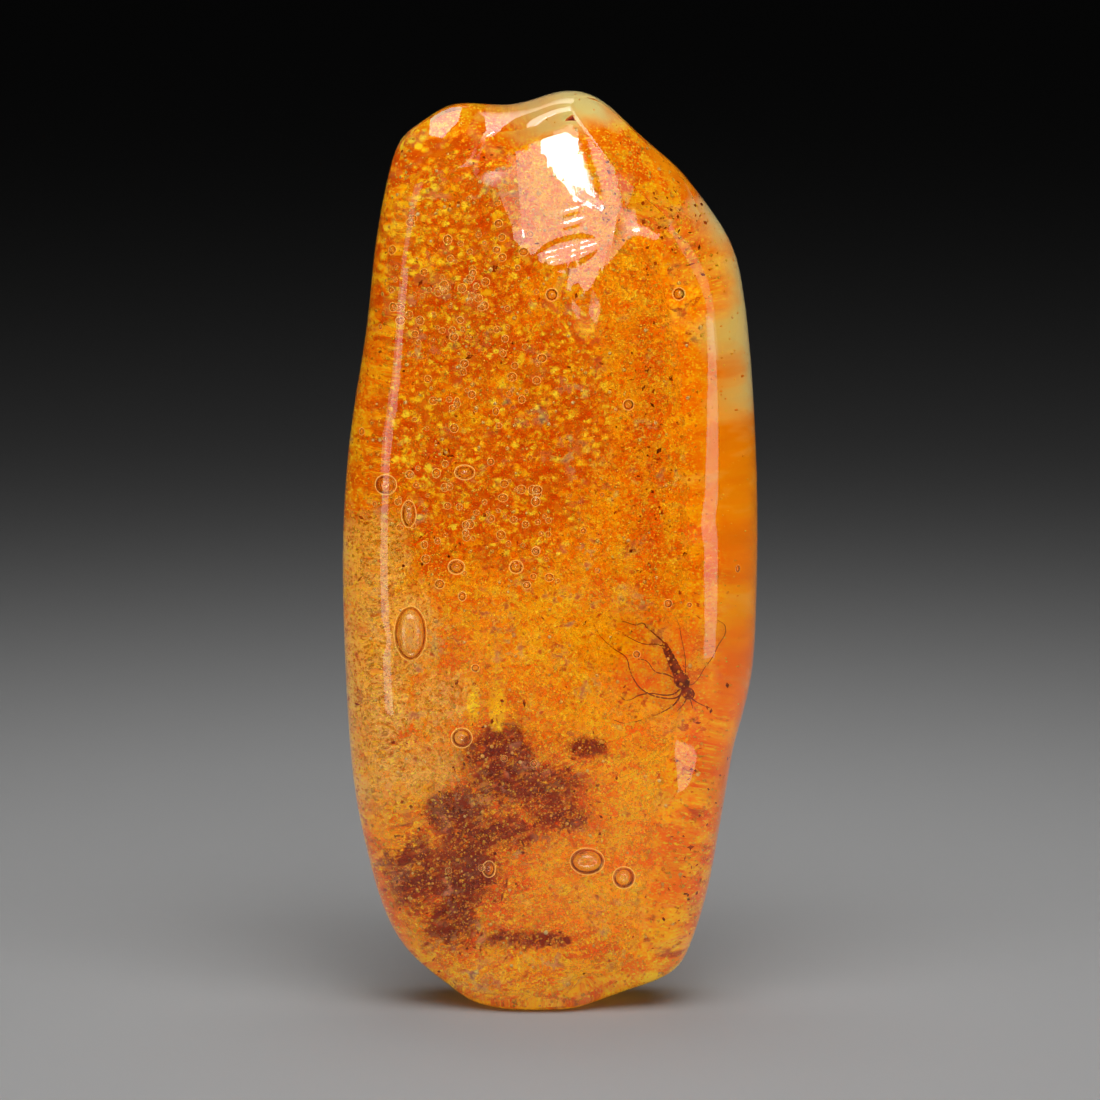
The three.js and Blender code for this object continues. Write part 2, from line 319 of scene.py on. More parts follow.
# Scales that sprang off under the flats, each a lens that leans back: the middle as x and z, half
# the length, half the height, and how deep its fine streaks are
SCALES = (
    (1.2, 48.15, 0.95, 0.16, 0), (1.3, 47.5, 1.0, 0.22, 0), (1.3, 46.85, 0.8, 0.16, 0),
    (0.95, 45.7, 2.0, 0.55, 0.002),
)
SCALE_TURN = math.radians(16)
SCALE_LEAN = 0.04
STREAK_PITCH = 0.3
SCALE_EDGE = 1.7
SCALES_MIDDLE = (0.7, 46.7)
SCALES_REACH = 2.8


def scale_depth(x, z):
    """How far the scales press the face in at a place, in mm."""
    depth = 0
    for at_x, at_z, half_length, half_height, streaks in SCALES:
        along = (x - at_x) * math.cos(SCALE_TURN) + (z - at_z) * math.sin(SCALE_TURN)
        across = (z - at_z) * math.cos(SCALE_TURN) - (x - at_x) * math.sin(SCALE_TURN)
        reach = half_height * math.sqrt(max(1 - (along / half_length) ** 2, 0))
        if abs(across) < SCALE_EDGE * reach:
            share = min((SCALE_EDGE - abs(across) / reach) / (SCALE_EDGE - 1), 1)
            leaning = SCALE_LEAN * min(max(across, -reach), reach)
            depth += share * (leaning + streaks * math.sin(across / STREAK_PITCH * 2 * math.pi))
    return depth


def by_scales(point):
    """Whether a point is on the part of the front that the scales take up."""
    at_x, at_z = SCALES_MIDDLE
    return on_front(point) and math.hypot(point.x / MM - at_x, point.z / MM - at_z) < SCALES_REACH


pick(amber, "FACE", by_scales)
bpy.ops.mesh.subdivide(number_cuts=4)
bpy.ops.object.mode_set(mode="OBJECT")
for vertex in amber.data.vertices:
    if by_scales(vertex.co):
        vertex.co.y += scale_depth(vertex.co.x / MM, vertex.co.z / MM) * MM

# Fine lines that the wheel left along the brightest flat, from one x and z to another
WHEEL_LINES = ((1.95, 51.9, 2.72, 49.05), (2.5, 48.95, 1.45, 49.3))
LINE_PITCH = 0.17
LINE_DEPTH = 0.0032
LINE_REACH = 0.42
LINE_LEAN = 0.5
LINE_MARGIN = 0.1
for x0, z0, x1, z1 in WHEEL_LINES:
    start = Vector((x0, z0))
    way = Vector((x1, z1)) - start

    def line_place(point):
        """How far along a row of lines a point lies, and how far beside it, in mm."""
        off = Vector((point.x, point.z)) / MM - start
        return off.dot(way.normalized()), abs(off.cross(way.normalized()))

    def by_lines(point):
        """Whether a point is on the part of the front that this row of lines takes up."""
        along, beside = line_place(point)
        on_row = -LINE_MARGIN < along < way.length + LINE_MARGIN and beside < LINE_REACH
        return on_front(point) and on_row

    pick(amber, "FACE", by_lines)
    bpy.ops.mesh.subdivide(number_cuts=6)
    bpy.ops.object.mode_set(mode="OBJECT")
    for vertex in amber.data.vertices:
        if by_lines(vertex.co):
            along, beside = line_place(vertex.co)
            swing = math.sin((along + LINE_LEAN * beside) / LINE_PITCH * 2 * math.pi)
            vertex.co.y += LINE_DEPTH * MM * swing * (1 - beside / LINE_REACH)

# Bubbles large enough to see, as x and z, radius sideways and upwards, and how deep each lies
BUBBLES = (
    (4.35, 8.5, 0.66, 0.66, 0.82), (2.2, 9.5, 1.0, 0.8, 0.7), (0.12, 43.2, 0.38, 0.38, 0.6),
    (7.55, 43.2, 0.38, 0.38, 0.55), (4.6, 36.7, 0.33, 0.33, 0.6), (-3.0, 35.5, 0.18, 0.18, 0.5),
    (-3.6, 9.0, 0.4, 0.5, 0.7), (-5.2, 16.9, 0.62, 0.6, 0.7), (-4.4, 21.1, 0.24, 0.24, 0.5),
    (-2.7, 15.7, 0.2, 0.2, 0.45), (-0.95, 15.4, 0.2, 0.2, 0.45), (-6.0, 8.9, 0.2, 0.2, 0.5),
    (-4.05, 9.1, 0.2, 0.2, 0.4), (-9.6, 31.9, 0.6, 0.6, 0.7), (-8.3, 30.2, 0.45, 0.8, 0.7),
    (-5.5, 27.1, 0.5, 0.45, 0.7), (-2.0, 27.1, 0.42, 0.4, 0.7), (-5.0, 32.7, 0.6, 0.45, 0.8),
    (2.8, 26.9, 0.15, 0.15, 0.35), (11.0, 26.8, 0.16, 0.22, 0.4), (6.95, 24.9, 0.25, 0.25, 0.5),
    (8.2, 24.8, 0.15, 0.15, 0.5), (5.1, 21.9, 0.22, 0.22, 0.5), (-8.2, 23.1, 0.95, 1.6, 0.8),
)
BUBBLE_THICKNESS = 0.5
# How much larger than its hollow each painted bright rim is
PAINTED_RIM_ROUND = 1.04
FOAM_CELLS = 170
FOAM_RADII = (0.12 * MM, 0.32 * MM)
FOAM_DEPTHS = (0.42 * MM, 1.15 * MM)
FOAM_SQUASH = (0.8, 1.0)
FOAM_BEFORE = -3.6
FOAM_AT = ((-5.0, 41.0, 4.2, 5.8), (-7.5, 32.5, 2.4, 4.0), (-3.0, 29.5, 4.0, 4.0))
TRIES_AT_ONCE = 4000
RANDOM = np.random.default_rng(1559)


def depth_inside(point):
    """How deep a point lies under the amber's surface, and less than nothing outside."""
    at, normal, _, distance = blank_tree.find_nearest(point)
    return distance if (point - at).dot(normal) < 0 else -distance


def share_of(x, z, spots):
    """How far points lie in any of these soft spots, from 0 outside to 1 in the middle."""
    far = [
        ((x - at_x) / reach_x) ** 2 + ((z - at_z) / reach_z) ** 2
        for at_x, at_z, reach_x, reach_z in spots
    ]
    return np.exp(-np.min(far, axis=0) ** 1.5)


def scattered(count, depths, wanted):
    """Points between these depths, kept with the chance that wanted gives for x, y and z in mm."""
    kept = []
    while len(kept) < count:
        batch = RANDOM.uniform(cad_box[0], cad_box[1], (TRIES_AT_ONCE, 3))
        chance = wanted(*(batch / MM).T)
        for point in batch[RANDOM.random(len(batch)) < chance]:
            if depths[0] < depth_inside(Vector(point)) < depths[1]:
                kept.append(point)
    return np.array(kept[:count])


def points_of(piece):
    """The piece's points, one to a row, in metres."""
    points = np.empty(len(piece.data.vertices) * 3)
    piece.data.vertices.foreach_get("co", points)
    return points.reshape(-1, 3)


def many(name, model, points, sizes, turns=None):
    """One mesh of many copies of a modelled grain, each at its point, with its size and turn."""
    shape = points_of(model)
    faces = np.array([tuple(face.vertices) for face in model.data.polygons])
    sizes = np.broadcast_to(np.reshape(sizes, (len(points), -1)), (len(points), 3))
    grains = shape[None] * sizes[:, None, :]
    if turns is not None:
        grains = np.einsum("nij,nvj->nvi", turns, grains)
    grains += points[:, None, :]
    every = faces[None] + (np.arange(len(points)) * len(shape))[:, None, None]
    mesh = bpy.data.meshes.new(name)
    mesh.from_pydata(grains.reshape(-1, 3).tolist(), [], every.reshape(-1, faces.shape[1]).tolist())
    made = bpy.data.objects.new(name, mesh)
    bpy.context.scene.collection.objects.link(made)
    only(made)
    bpy.ops.object.shade_smooth()
    return made


def round_hollow(subdivisions):
    """A ball whose faces look inwards, as the walls of a bubble do."""
    bpy.ops.object.select_all(action="DESELECT")
    bpy.ops.mesh.primitive_ico_sphere_add(subdivisions=subdivisions, radius=1)
    bpy.ops.object.mode_set(mode="EDIT")
    bpy.ops.mesh.flip_normals()
    bpy.ops.object.mode_set(mode="OBJECT")
    return bpy.context.object


# The bubbles are hollows in the clear piece, and each has a painted bright rim of its own just outside it
hollow = round_hollow(3)
points = np.array([(x * MM, front_y(blank_tree, x, z) + deep * MM, z * MM) for x, z, _, _, deep in BUBBLES])
radii = np.array([(wide, min(wide, BUBBLE_THICKNESS), tall) for _, _, wide, tall, _ in BUBBLES]) * MM
large = many("large_bubbles", hollow, points, radii)
# A slightly larger ball round each bubble carries its painted bright rim
painted_bubble_rims = many("painted_bubble_rims", hollow, points, radii * PAINTED_RIM_ROUND)
only(hollow)
bpy.ops.object.delete()
hollow = round_hollow(2)
points = scattered(FOAM_CELLS, FOAM_DEPTHS, lambda x, y, z: share_of(x, z, FOAM_AT) * (y < FOAM_BEFORE))
radii = RANDOM.uniform(*FOAM_RADII, (len(points), 1)) * RANDOM.uniform(*FOAM_SQUASH, (len(points), 3))
foam = many("foam_cells", hollow, points, radii)
# The foam cells get painted bright rims too
painted_foam_rims = many("painted_foam_rims", hollow, points, radii * PAINTED_RIM_ROUND)
only(hollow)
bpy.ops.object.delete()
# The painted rims of the bubbles and the foam cells become one piece, facing out
only(painted_bubble_rims)
painted_foam_rims.select_set(True)
bpy.ops.object.join()
bpy.ops.object.mode_set(mode="EDIT")
bpy.ops.mesh.select_all(action="SELECT")
bpy.ops.mesh.flip_normals()
bpy.ops.object.mode_set(mode="OBJECT")
only(amber)
large.select_set(True)
foam.select_set(True)
bpy.ops.object.join()
bpy.ops.object.shade_smooth()


def add(tree, kind, values=None, **settings):
    """Adds one node with its settings, and links or sets each of its inputs."""
    node = tree.nodes.new(kind)
    for name, value in settings.items():
        setattr(node, name, value)
    for name, value in (values or {}).items():
        if isinstance(value, bpy.types.NodeSocket):
            tree.links.new(value, node.inputs[name])
        else:
            node.inputs[name].default_value = value
    return node


def material_named(name):
    """A new material, with its node tree and its shader."""
    made = bpy.data.materials.new(name)
    made.use_nodes = True
    return made, made.node_tree, made.node_tree.nodes["Principled BSDF"]


# How much red, green and blue light a metre of the clear resin takes out
ABSORBED_PER_METRE = (4, 80, 400)
DENSITY = 405
resin, tree, shader = material_named("clear amber")
shader.inputs["Base Color"].default_value = (1, 1, 1, 1)
shader.inputs["Transmission Weight"].default_value = 1
shader.inputs["IOR"].default_value = 1.54
shader.inputs["Roughness"].default_value = 0.02
tint = (*[1 - share / DENSITY for share in ABSORBED_PER_METRE], 1)
absorption = add(tree, "ShaderNodeVolumeAbsorption", {"Color": tint, "Density": DENSITY})
tree.links.new(absorption.outputs["Volume"], tree.nodes["Material Output"].inputs["Volume"])
amber.data.materials.append(resin)
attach(amber, "root")
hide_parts("amber_front", "amber_back")

# The cloudy heart
# Inside its clear skin the resin is full of foam too fine to see, in folded layers of bright and
# brown. Each layer is a shell round the middle, and the outer two are open in places.
CLOUDS = (
    {"name": "cloud_1", "size": (0.83, 0.70, 0.94), "shift": (-1.2, 0, -0.9), "cover": 0.36},
    {"name": "cloud_2", "size": (0.80, 0.52, 0.92), "shift": (-1.2, 0, -0.9), "cover": 0.50},
    {"name": "cloud_3", "size": (0.93, 0.42, 0.965), "shift": (0, 1.0, -0.2), "cover": 1.0},
)
FOLD_SIZE = 4 * MM
FOLD_HEIGHT = 0.9 * MM

# The places of each kind of foam, and of the clear resin: x and z, and the reach along x and z
BROWN = (
    (-3.0, 15.6, 1.9, 1.8), (-1.3, 13.9, 3.0, 1.0), (-5.6, 12.3, 1.6, 1.2), (-3.4, 11.0, 2.8, 0.8),
    (-5.2, 8.6, 2.2, 1.9), (-7.6, 8.6, 0.9, 2.0), (-1.2, 4.6, 2.6, 0.45), (2.2, 16.1, 1.1, 0.5),
    (-5.6, 5.8, 1.2, 1.3), (0.6, 12.0, 1.6, 0.7),
)
RED = (
    (5.7, 33.7, 0.9, 9.0), (7.2, 47.3, 2.4, 2.2), (4.2, 49.3, 1.6, 2.8), (-7.1, 33.1, 2.0, 1.2),
    (-7.0, 27.7, 1.6, 1.7), (-5.9, 21.3, 1.0, 2.0), (10.2, 19.3, 1.2, 3.0), (8.8, 12.2, 1.2, 4.5),
    (-3.2, 51.0, 1.8, 0.9), (-6.0, 43.2, 2.8, 0.9), (-4.0, 40.2, 3.6, 0.9), (-3.4, 11.6, 3.6, 3.2),
    (-4.6, 6.6, 3.0, 2.6), (0.6, 12.8, 2.4, 2.4), (8.0, 7.2, 1.4, 2.6),
)
BRIGHT = (
    (0.8, 22.5, 4.4, 3.2), (0.6, 38.0, 3.2, 1.4), (-7.1, 48.1, 2.8, 1.0), (3.2, 18.1, 3.2, 1.4),
    (5.4, 13.9, 2.6, 2.2), (0.8, 2.6, 5.5, 1.2), (3.4, 7.5, 3.0, 1.2), (-4.8, 35.1, 1.6, 1.4),
    (-5.0, 45.5, 3.8, 0.9), (8.6, 24.4, 1.4, 2.2),
)
PALE = (
    (-9.8, 19.3, 1.7, 6.0), (-7.4, 14.9, 2.0, 1.6), (-9.6, 27.3, 1.5, 2.8), (-8.2, 23.1, 1.7, 2.8),
    (-6.2, 19.1, 2.0, 1.5),
)
YELLOW = ((-4.5, 18.6, 0.35, 1.2), (-3.1, 18.4, 0.5, 1.3), (6.9, 3.2, 0.6, 0.35), (5.6, 2.9, 0.5, 0.3))
CELLED = (
    (-5.2, 43.5, 4.2, 6.5), (-7.5, 33.5, 2.4, 5.0), (-2.5, 32.0, 4.4, 5.0), (0.5, 36.0, 3.0, 6.0),
    (-6.0, 49.5, 3.0, 2.2),
)
# Milky places: haze whose bluish white is also a painted sheen of lamplight along the right edge and the
# top
MILKY_SHEEN = ((10.7, 42.0, 1.7, 7.0), (0.6, 54.2, 5.0, 2.3), (9.4, 47.5, 1.6, 3.0))
SMOOTH = MILKY_SHEEN + ((11.2, 34.0, 2.5, 12.0), (11.4, 20.0, 2.4, 10.0), (9.9, 12.0, 1.7, 6.0))
CLEAR = ((6.2, 21.0, 3.4, 3.4),)
STREAKED = ((-1.0, 3.4, 6.5, 2.4), (-4.5, 8.8, 4.5, 4.0), (0.5, 14.5, 4.5, 2.2))
KINDS = {
    "brown": BROWN, "red": RED, "bright": BRIGHT, "pale": PALE, "yellow": YELLOW, "celled": CELLED,
    "streaked": STREAKED, "milky_sheen": MILKY_SHEEN, "smooth": SMOOTH, "clear": CLEAR + SMOOTH,
}
STREAK_RISE = math.radians(20)
STREAK_STRETCH = (5, 1, 1)


def noise(tree, place, size, detail=3, roughness=0.55):
    """Cloudy noise with lumps of this size, from 0 to 1."""
    values = {"Vector": place, "Scale": 1 / size, "Detail": detail, "Roughness": roughness}
    return add(tree, "ShaderNodeTexNoise", values).outputs["Fac"]


def between(tree, value, low, high, to_low=0.0, to_high=1.0):
    """The value's way from low to high, spread to the new range and cut off at its ends."""
    values = {"Value": value, "From Min": low, "From Max": high, "To Min": to_low, "To Max": to_high}
    return add(tree, "ShaderNodeMapRange", values).outputs["Result"]


def product(tree, one, other):
    """One value times the other."""
    return add(tree, "ShaderNodeMath", {0: one, 1: other}, operation="MULTIPLY").outputs["Value"]


def total(tree, one, other):
    """One value plus the other."""
    return add(tree, "ShaderNodeMath", {0: one, 1: other}, operation="ADD").outputs["Value"]


def blended(tree, base, colour, share):
    """The base colour, blended towards another by a share."""
    colours = [(*each, 1) if isinstance(each, tuple) else each for each in (base, colour)]
    mix = add(tree, "ShaderNodeMix", {0: share, 6: colours[0], 7: colours[1]}, data_type="RGBA")
    return mix.outputs[2]


def foam_group():
    """The colours of foam, with its brown, red, bright and other places, and how thick it lies."""
    group = bpy.data.node_groups.new("foam", "ShaderNodeTree")
    group.interface.new_socket("Place", in_out="INPUT", socket_type="NodeSocketVector")
    for kind in KINDS:
        group.interface.new_socket(kind, in_out="INPUT", socket_type="NodeSocketFloat")
    group.interface.new_socket("Colour", in_out="OUTPUT", socket_type="NodeSocketColor")
    group.interface.new_socket("Thickness", in_out="OUTPUT", socket_type="NodeSocketFloat")
    given = group.nodes.new("NodeGroupInput").outputs
    place = given["Place"]
    broad = noise(group, place, 2.6 * MM, 3)
    blotch = noise(group, place, 1.25 * MM, 2)
    middle = noise(group, place, 0.55 * MM, 3)
    fine = noise(group, place, 0.17 * MM, 2, 0.7)
    grainy = between(group, given["smooth"], 0.1, 0.6, 1, 0.06)
    fray = product(group, grainy, between(group, middle, 0.3, 0.7, -0.42, 0.42))
    broad_fray = between(group, broad, 0.3, 0.7, -0.3, 0.3)
    cell_values = {"Vector": place, "Scale": 1 / (0.62 * MM)}
    from_middle = add(group, "ShaderNodeTexVoronoi", cell_values).outputs["Distance"]

    def frayed(kind, most):
        """A kind's share with a torn edge."""
        torn = total(group, total(group, given[kind], fray), broad_fray)
        return between(group, torn, 0.28, 0.62, 0, most)

    turned = {"Vector": place, "Rotation": (0, -STREAK_RISE, 0), "Scale": STREAK_STRETCH}
    drawn_out = add(group, "ShaderNodeMapping", turned, vector_type="TEXTURE").outputs["Vector"]
    streak = noise(group, drawn_out, 0.5 * MM, 3)
    celled = product(group, frayed("celled", 0.8), grainy)
    blotched = product(group, total(group, product(group, celled, 0.5), 0.4), grainy)
    dark_blotch = product(group, blotched, between(group, blotch, 0.47, 0.38))
    light_blotch = product(group, blotched, between(group, blotch, 0.50, 0.59))
    dark_grain = product(group, grainy, between(group, fine, 0.44, 0.32, 0, 0.65))
    light_grain = product(group, grainy, between(group, fine, 0.55, 0.66))
    cell_wall = product(group, celled, between(group, from_middle, 0.38, 0.56))
    cell_light = product(group, celled, between(group, from_middle, 0.36, 0.16))
    streaked = product(group, frayed("streaked", 0.9), grainy)
    dark_streak = product(group, streaked, between(group, streak, 0.48, 0.42))
    light_streak = product(group, streaked, between(group, streak, 0.54, 0.60))
    brown = product(group, frayed("brown", 0.95), between(group, streak, 0.60, 0.52, 0.3, 1))
    round_brown = between(group, total(group, given["brown"], fray), 0.0, 0.6, 0, 0.8)
    # Milky haze, in a bluish white that is also a painted sheen of lamplight
    milky_sheen = between(group, total(group, given["milky_sheen"], broad_fray), 0.1, 0.8, 0, 0.9)
    laid_over = (
        ((0.98, 0.64, 0.02), frayed("bright", 0.8)),
        ((0.80, 0.15, 0.006), frayed("red", 0.8)),
        ((0.72, 0.13, 0.006), dark_blotch),
        ((1.0, 0.98, 0.05), light_blotch),
        ((0.76, 0.15, 0.006), dark_streak),
        ((1.0, 0.72, 0.04), light_streak),
        ((1.0, 0.82, 0.46), frayed("pale", 0.7)),
        ((0.56, 0.08, 0.004), round_brown),
        ((0.66, 0.12, 0.006), dark_grain),
        ((1.0, 0.86, 0.10), light_grain),
        ((0.20, 0.018, 0.002), brown),
        ((0.62, 0.10, 0.006), cell_wall),
        ((1.0, 0.95, 0.10), cell_light),
        ((0.98, 0.82, 0.05), between(group, given["yellow"], 0.2, 0.6)),
        ((0.60, 0.30, 0.014), between(group, given["smooth"], 0.1, 0.6, 0, 0.4)),
        # Bluish white: milky haze, and painted sheen of lamplight
        ((0.62, 0.74, 0.92), milky_sheen),
    )
    colour = blended(group, (0.86, 0.29, 0.006), (0.95, 0.50, 0.015), between(group, broad, 0.40, 0.60))
    for shade, share in laid_over:
        colour = blended(group, colour, shade, share)
    end = group.nodes.new("NodeGroupOutput")
    group.links.new(colour, end.inputs["Colour"])
    group.links.new(middle, end.inputs["Thickness"])
    return group


FOAM = foam_group()
FOLD_TURN = math.radians(8)
FOLD_FLATNESS = (1, 1, 1.15)
FOLD_SHIFT = (0.013, 0.029, 0.017)
# How strongly the foam glows: painted light in place of the light that it passes on
PAINTED_GLOW = 0.38
COVER_SPREAD = 0.32
COVER_EDGE = 0.05


def cloud_material(name, shift, cover):
    """Foam with its own folds, open where it lies thin or the resin is clear. Its weak glow is
    painted light, standing in for the light that such fine foam passes on from all sides."""
    made, tree, shader = material_named(name)
    at = add(tree, "ShaderNodeTexCoord").outputs["Object"]
    folded = {"Vector": at, "Location": shift, "Rotation": (0, FOLD_TURN, 0), "Scale": FOLD_FLATNESS}
    place = add(tree, "ShaderNodeMapping", folded).outputs["Vector"]
    foam = add(tree, "ShaderNodeGroup", node_tree=FOAM)
    tree.links.new(place, foam.inputs["Place"])
    shares = {kind: add(tree, "ShaderNodeAttribute", attribute_name=kind).outputs["Fac"] for kind in KINDS}
    for kind, share in shares.items():
        tree.links.new(share, foam.inputs[kind])
    tree.links.new(foam.outputs["Colour"], shader.inputs["Base Color"])
    # The foam's colour also glows, as painted light
    tree.links.new(foam.outputs["Colour"], shader.inputs["Emission Color"])
    shader.inputs["Emission Strength"].default_value = PAINTED_GLOW
    shader.inputs["Specular IOR Level"].default_value = 0
    if cover < 1:
        edge = 0.5 + COVER_SPREAD * (0.5 - cover)
        laid = between(tree, foam.outputs["Thickness"], edge - COVER_EDGE, edge + COVER_EDGE)
        kept = between(tree, shares["clear"], 0.7, 0.2)
        tree.links.new(product(tree, laid, kept), shader.inputs["Alpha"])
    return made


# The rim, where a layer turns away from the front, is clear, and smooth towards the right
RIM_FACING = 0.93
RIM_SPREAD = 0.35
SMOOTH_RIM_FROM = 4
SMOOTH_RIM_SPREAD = 3
for index, cloud in enumerate(CLOUDS):
    shell = copy_of(blank, cloud["name"])
    bpy.ops.object.mode_set(mode="EDIT")
    bpy.ops.mesh.select_all(action="SELECT")
    bpy.ops.transform.resize(value=cloud["size"], center_override=CENTRE)
    bpy.ops.transform.translate(value=Vector(cloud["shift"]) * MM)
    bpy.ops.object.mode_set(mode="OBJECT")
    finish_modifier(shell, "SUBSURF", levels=2, render_levels=2)
    normals = np.empty(len(shell.data.vertices) * 3)
    shell.data.vertices.foreach_get("normal", normals)
    rim = np.clip((RIM_FACING - np.abs(normals.reshape(-1, 3)[:, 1])) / RIM_SPREAD, 0, 1)
    folds = bpy.data.textures.new(f"folds {index}", "CLOUDS")
    folds.noise_scale = FOLD_SIZE
    finish_modifier(shell, "DISPLACE", texture=folds, texture_coords="LOCAL", strength=FOLD_HEIGHT)
    bpy.ops.object.shade_smooth()
    x, _, z = points_of(shell).T / MM
    shares = {kind: share_of(x, z, spots) for kind, spots in KINDS.items()}
    shares["clear"] = np.maximum(shares["clear"], rim)
    to_the_right = np.clip((x - SMOOTH_RIM_FROM) / SMOOTH_RIM_SPREAD, 0, 1)
    shares["smooth"] = np.maximum(shares["smooth"], rim * to_the_right)
    for kind, share in shares.items():
        shell.data.attributes.new(kind, "FLOAT", "POINT").data.foreach_set("value", share)
    shift = [step * index for step in FOLD_SHIFT]
    shell.data.materials.append(cloud_material(cloud["name"].replace("_", " "), shift, cloud["cover"]))
    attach(shell, "root")

# The innermost layer gives way behind the insect
HEART_BEHIND_INSECT = -1.0 * MM
HEART_DIP_REACH = 1.3
HEART_DIP_SLOPE = 0.5
for vertex in bpy.data.objects["cloud_3"].data.vertices:
    away = math.hypot(vertex.co.x - POCKET_MIDDLE.x, vertex.co.z - POCKET_MIDDLE.z) / POCKET_RADIUS
    if vertex.co.y < HEART_BEHIND_INSECT and away < HEART_DIP_REACH:
        share = min((HEART_DIP_REACH - away) / HEART_DIP_SLOPE, 1)
        vertex.co.y += share * (HEART_BEHIND_INSECT - vertex.co.y)

# The painted bubble rims
# A glowing skin round each larger bubble, which is painted light: it stands in for the light that a
# bubble throws back, most of all round its edge. Its mesh was made beside the hollows.
bubble_rim_glow, tree, shader = material_named("painted bubble rim")
# The cream colour and its glow are a painted highlight, showing most where the skin turns edge-on
edge_on = add(tree, "ShaderNodeLayerWeight", {"Blend": 0.5}).outputs["Facing"]
tree.links.new(between(tree, edge_on, 0.45, 0.85, 0, 0.7), shader.inputs["Alpha"])
shader.inputs["Base Color"].default_value = (1.0, 0.74, 0.26, 1)
shader.inputs["Emission Color"].default_value = (1.0, 0.74, 0.26, 1)
shader.inputs["Emission Strength"].default_value = 0.6
painted_bubble_rims.data.materials.append(bubble_rim_glow)
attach(painted_bubble_rims, "root")

# The gas specks
# The resin is full of gas bubbles too small to look through. They catch the light as pale dots,
# thick in the cloudy parts and thin in the clear skin.
SPECK_PIECES = 3
SPECKS_A_PIECE = 20000
SPECK_RADIUS = 0.05 * MM
SPECK_RADII = (0.028 * MM, 0.13 * MM)
SPECK_DEPTHS = (0.5 * MM, 6 * MM)
SPECK_SPREAD = 0.38
SPECKS_EVERYWHERE = 0.14
SPECKS_IN_PALE = 0.6
SPECKS_IN_DARK = 0.1
CLEAR_TOP = 51.4
CLEAR_TOP_FADE = 0.35
CLEAR_RIGHT = 8.8
CLEAR_RIGHT_FADE = 0.5
CLEAR_SHARE = 0.06


def random_turns(count):
    """Random turns, as 3 by 3 matrices."""
    quaternions = RANDOM.normal(size=(4, count))
    w, x, y, z = quaternions / np.linalg.norm(quaternions, axis=0)
    return np.array([
        [1 - 2 * (y * y + z * z), 2 * (x * y - z * w), 2 * (x * z + y * w)],
        [2 * (x * y + z * w), 1 - 2 * (x * x + z * z), 2 * (y * z - x * w)],
        [2 * (x * z - y * w), 2 * (y * z + x * w), 1 - 2 * (x * x + y * y)],
    ]).transpose(2, 0, 1)


# A grain is two four-sided cones, base to base
bpy.ops.object.select_all(action="DESELECT")
bpy.ops.mesh.primitive_cone_add(vertices=4, radius1=1, radius2=0, depth=1, end_fill_type="NOTHING")
grain = bpy.context.object
bpy.ops.object.mode_set(mode="EDIT")
bpy.ops.transform.translate(value=(0, 0, 0.5))
bpy.ops.mesh.duplicate()
bpy.ops.transform.resize(value=(1, 1, -1), center_override=(0, 0, 0))
bpy.ops.mesh.select_all(action="SELECT")
bpy.ops.mesh.remove_doubles(threshold=0.01)
bpy.ops.mesh.normals_make_consistent(inside=False)
bpy.ops.object.mode_set(mode="OBJECT")


def gas_material(name, deep, pale):
    """Small bubbles as they look from outside: a light skin between these two colours."""
    made, tree, shader = material_named(name)
    at = add(tree, "ShaderNodeTexCoord").outputs["Object"]
    varied = between(tree, noise(tree, at, 0.5 * MM, 1), 0.4, 0.6)
    tree.links.new(blended(tree, deep, pale, varied), shader.inputs["Base Color"])
    shader.inputs["Roughness"].default_value = 0.25
    shader.inputs["Specular IOR Level"].default_value = 0.1
    return made


speck_gas = gas_material("gas specks", (1.0, 0.45, 0.03), (1.0, 0.88, 0.20))


def in_the_cloudy_part(x, z):
    """1 in the cloudy part of the pebble and little in its clear skin at the top and the right."""
    top = 1 / (1 + np.exp((z - CLEAR_TOP) / CLEAR_TOP_FADE))
    right = 1 / (1 + np.exp((x - CLEAR_RIGHT) / CLEAR_RIGHT_FADE))
    return CLEAR_SHARE + (1 - CLEAR_SHARE) * top * right


def out_of_bubbles(x, y, z):
    """1 outside every large bubble, and 0 inside."""
    free = np.ones_like(x)
    for at_x, at_z, wide, tall, _ in BUBBLES:
        free *= ((x - at_x) / wide) ** 2 + ((z - at_z) / tall) ** 2 > 1.1
    return free


def speck_chance(x, y, z):
    """How likely a speck is kept at a place."""
    in_pale = SPECKS_IN_PALE * share_of(x, z, PALE)
    in_dark = SPECKS_IN_DARK * share_of(x, z, BROWN + RED)
    thick = SPECKS_EVERYWHERE + in_pale + in_dark
    return thick * in_the_cloudy_part(x, z) * out_of_bubbles(x, y, z)


for index in range(SPECK_PIECES):
    points = scattered(SPECKS_A_PIECE, SPECK_DEPTHS, speck_chance)
    radii = RANDOM.lognormal(math.log(SPECK_RADIUS), SPECK_SPREAD, len(points)).clip(*SPECK_RADII)
    specks = many(f"gas_specks_{index + 1}", grain, points, radii, random_turns(len(points)))
    specks.data.materials.append(speck_gas)
    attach(specks, "root")

# The pinhead bubbles are just large enough to be seen one by one
PINHEAD_COUNT = 900
PINHEAD_RADII = (0.07 * MM, 0.15 * MM)
PINHEAD_DEPTHS = (0.35 * MM, 1.6 * MM)
LONE_PINHEADS = 0.3


def pinhead_chance(x, y, z):
    """How likely a pinhead bubble is kept at a place."""
    thick = LONE_PINHEADS + (1 - LONE_PINHEADS) * share_of(x, z, CELLED + PALE + BROWN)
    return thick * in_the_cloudy_part(x, z) * out_of_bubbles(x, y, z)


